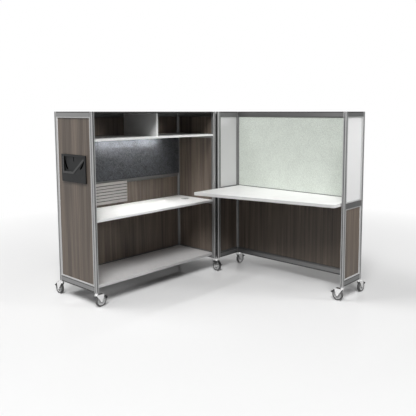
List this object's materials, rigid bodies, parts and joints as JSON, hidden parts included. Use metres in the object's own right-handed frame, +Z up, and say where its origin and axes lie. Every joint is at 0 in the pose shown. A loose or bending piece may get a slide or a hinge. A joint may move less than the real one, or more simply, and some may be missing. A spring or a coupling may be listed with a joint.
{
  "type": "fold-up mobile workstation",
  "caption": "Mobile office workstation of two framed cabinets hinged on one edge: a storage half with shelves and tackboard, and a screened desk half, on braked casters.",
  "frame": {"origin": "centre of the overall footprint, on the floor", "axes": "+Z up; the storage half's front looks towards -Y; the desk half's front looks towards -X"},
  "size_m": [1.955, 2.1752, 1.676],
  "materials": {
    "frame": "satin anodised",
    "cap": "matte black",
    "bead": "bright anodised",
    "wood": "grey-brown laminate with an upright grain",
    "board": "dark laminate",
    "shelf": "light grey laminate",
    "worktop": "white laminate",
    "felt": "dark grey felt",
    "screen_fabric": "pale grey-green weave",
    "screen": "frosted grey",
    "tool_metal": "satin grey",
    "pocket": "satin black",
    "grommet": "satin grey",
    "lamp": "satin",
    "lens": "white diffuser",
    "support": "light grey paint",
    "hinge": "matte black",
    "steel": "bright zinc",
    "chrome": "polished",
    "wheel": "grey rubber on a light hub",
    "pedal": "matte black"
  },
  "bodies": {
    "storage_half": {"storage_posts": "frame", "storage_end_rails": "frame", "storage_left_panel": "wood", "storage_beads": "bead", "storage_edge_strips": "cap", "storage_right_panel": "wood", "storage_back_rails": "frame", "storage_back_panel": "wood", "storage_top_panel": "board", "overhead_shelf": "worktop", "overhead_divider": "worktop", "storage_worktop": "worktop", "floor_shelf": "shelf", "cable_grommet": "grommet", "shelf_supports": "support", "tackboard": "felt", "tool_panel": "tool_metal", "task_light": "lamp", "task_light_lens": "lens", "wall_pocket": "pocket", "pocket_trim": "pocket", "storage_hinge_leaf": "hinge", "hinge_pin": "hinge", "storage_caster_stems": "steel"},
    "desk_half": {"desk_posts": "frame", "desk_end_rails": "frame", "desk_back_rails": "frame", "desk_edge_strips": "cap", "desk_beads": "bead", "left_screen": "screen", "right_screen": "screen", "fabric_screen": "screen_fabric", "left_lower_panel": "wood", "right_lower_panel": "wood", "back_lower_panel": "wood", "desk_worktop": "worktop", "desk_brackets": "support", "desk_hinge_leaf": "hinge", "desk_caster_stems": "steel"},
    "storage_front_left_fork": {"storage_front_left_fork": "chrome"},
    "storage_front_left_wheel": {"storage_front_left_wheel": "wheel"},
    "storage_front_left_brake": {"storage_front_left_brake": "pedal"},
    "storage_back_left_fork": {"storage_back_left_fork": "chrome"},
    "storage_back_left_wheel": {"storage_back_left_wheel": "wheel"},
    "storage_back_left_brake": {"storage_back_left_brake": "pedal"},
    "storage_back_right_fork": {"storage_back_right_fork": "chrome"},
    "storage_back_right_wheel": {"storage_back_right_wheel": "wheel"},
    "storage_back_right_brake": {"storage_back_right_brake": "pedal"},
    "hinge_corner_fork": {"hinge_corner_fork": "chrome"},
    "hinge_corner_wheel": {"hinge_corner_wheel": "wheel"},
    "hinge_corner_brake": {"hinge_corner_brake": "pedal"},
    "desk_back_left_fork": {"desk_back_left_fork": "chrome"},
    "desk_back_left_wheel": {"desk_back_left_wheel": "wheel"},
    "desk_back_left_brake": {"desk_back_left_brake": "pedal"},
    "desk_back_right_fork": {"desk_back_right_fork": "chrome"},
    "desk_back_right_wheel": {"desk_back_right_wheel": "wheel"},
    "desk_back_right_brake": {"desk_back_right_brake": "pedal"},
    "desk_front_right_fork": {"desk_front_right_fork": "chrome"},
    "desk_front_right_wheel": {"desk_front_right_wheel": "wheel"},
    "desk_front_right_brake": {"desk_front_right_brake": "pedal"}
  },
  "joints": [
    {"name": "fold", "type": "hinge", "parent": "storage_half", "child": "desk_half", "pos_m": [0.54116, 0.4269, 0], "axis": [0, 0, 1], "range_deg": [-90, 90]},
    {"name": "storage_front_left_swivel", "type": "hinge", "parent": "storage_half", "child": "storage_front_left_fork", "pos_m": [-0.95654, 0.4459, 0.131], "axis": [0, 0, 1], "continuous": true},
    {"name": "storage_front_left_roll", "type": "hinge", "parent": "storage_front_left_fork", "child": "storage_front_left_wheel", "pos_m": [-0.91455, 0.4459, 0.05], "axis": [0, 1, 0], "continuous": true},
    {"name": "storage_front_left_pedal", "type": "hinge", "parent": "storage_front_left_fork", "child": "storage_front_left_brake", "pos_m": [-0.89655, 0.4459, 0.103], "axis": [0, -1, 0], "range_deg": [0, 8]},
    {"name": "storage_back_left_swivel", "type": "hinge", "parent": "storage_half", "child": "storage_back_left_fork", "pos_m": [-0.95654, 0.98091, 0.131], "axis": [0, 0, 1], "continuous": true},
    {"name": "storage_back_left_roll", "type": "hinge", "parent": "storage_back_left_fork", "child": "storage_back_left_wheel", "pos_m": [-0.95654, 1.0229, 0.05], "axis": [-1, 0, 0], "continuous": true},
    {"name": "storage_back_left_pedal", "type": "hinge", "parent": "storage_back_left_fork", "child": "storage_back_left_brake", "pos_m": [-0.95654, 1.0409, 0.103], "axis": [1, 0, 0], "range_deg": [0, 8]},
    {"name": "storage_back_right_swivel", "type": "hinge", "parent": "storage_half", "child": "storage_back_right_fork", "pos_m": [0.52346, 0.98091, 0.131], "axis": [0, 0, 1], "continuous": true},
    {"name": "storage_back_right_roll", "type": "hinge", "parent": "storage_back_right_fork", "child": "storage_back_right_wheel", "pos_m": [0.52346, 1.0229, 0.05], "axis": [-1, 0, 0], "continuous": true},
    {"name": "storage_back_right_pedal", "type": "hinge", "parent": "storage_back_right_fork", "child": "storage_back_right_brake", "pos_m": [0.52346, 1.0409, 0.103], "axis": [1, 0, 0], "range_deg": [0, 8]},
    {"name": "hinge_corner_swivel", "type": "hinge", "parent": "storage_half", "child": "hinge_corner_fork", "pos_m": [0.52346, 0.4459, 0.131], "axis": [0, 0, 1], "continuous": true},
    {"name": "hinge_corner_roll", "type": "hinge", "parent": "hinge_corner_fork", "child": "hinge_corner_wheel", "pos_m": [0.52346, 0.40391, 0.05], "axis": [1, 0, 0], "continuous": true},
    {"name": "hinge_corner_pedal", "type": "hinge", "parent": "hinge_corner_fork", "child": "hinge_corner_brake", "pos_m": [0.52346, 0.3859, 0.103], "axis": [-1, 0, 0], "range_deg": [0, 8]},
    {"name": "desk_back_left_swivel", "type": "hinge", "parent": "desk_half", "child": "desk_back_left_fork", "pos_m": [0.87086, 0.41191, 0.131], "axis": [0, 0, 1], "continuous": true},
    {"name": "desk_back_left_roll", "type": "hinge", "parent": "desk_back_left_fork", "child": "desk_back_left_wheel", "pos_m": [0.91285, 0.41191, 0.05], "axis": [0, 1, 0], "continuous": true},
    {"name": "desk_back_left_pedal", "type": "hinge", "parent": "desk_back_left_fork", "child": "desk_back_left_brake", "pos_m": [0.93085, 0.41191, 0.103], "axis": [0, -1, 0], "range_deg": [0, 8]},
    {"name": "desk_back_right_swivel", "type": "hinge", "parent": "desk_half", "child": "desk_back_right_fork", "pos_m": [0.87086, -1.0681, 0.131], "axis": [0, 0, 1], "continuous": true},
    {"name": "desk_back_right_roll", "type": "hinge", "parent": "desk_back_right_fork", "child": "desk_back_right_wheel", "pos_m": [0.91285, -1.0681, 0.05], "axis": [0, 1, 0], "continuous": true},
    {"name": "desk_back_right_pedal", "type": "hinge", "parent": "desk_back_right_fork", "child": "desk_back_right_brake", "pos_m": [0.93085, -1.0681, 0.103], "axis": [0, -1, 0], "range_deg": [0, 8]},
    {"name": "desk_front_right_swivel", "type": "hinge", "parent": "desk_half", "child": "desk_front_right_fork", "pos_m": [0.56285, -1.0681, 0.131], "axis": [0, 0, -1], "continuous": true},
    {"name": "desk_front_right_roll", "type": "hinge", "parent": "desk_front_right_fork", "child": "desk_front_right_wheel", "pos_m": [0.56285, -1.02609, 0.05], "axis": [-1, 0, 0], "continuous": true},
    {"name": "desk_front_right_pedal", "type": "hinge", "parent": "desk_front_right_fork", "child": "desk_front_right_brake", "pos_m": [0.56285, -1.00809, 0.103], "axis": [1, 0, 0], "range_deg": [0, 8]}
  ]
}
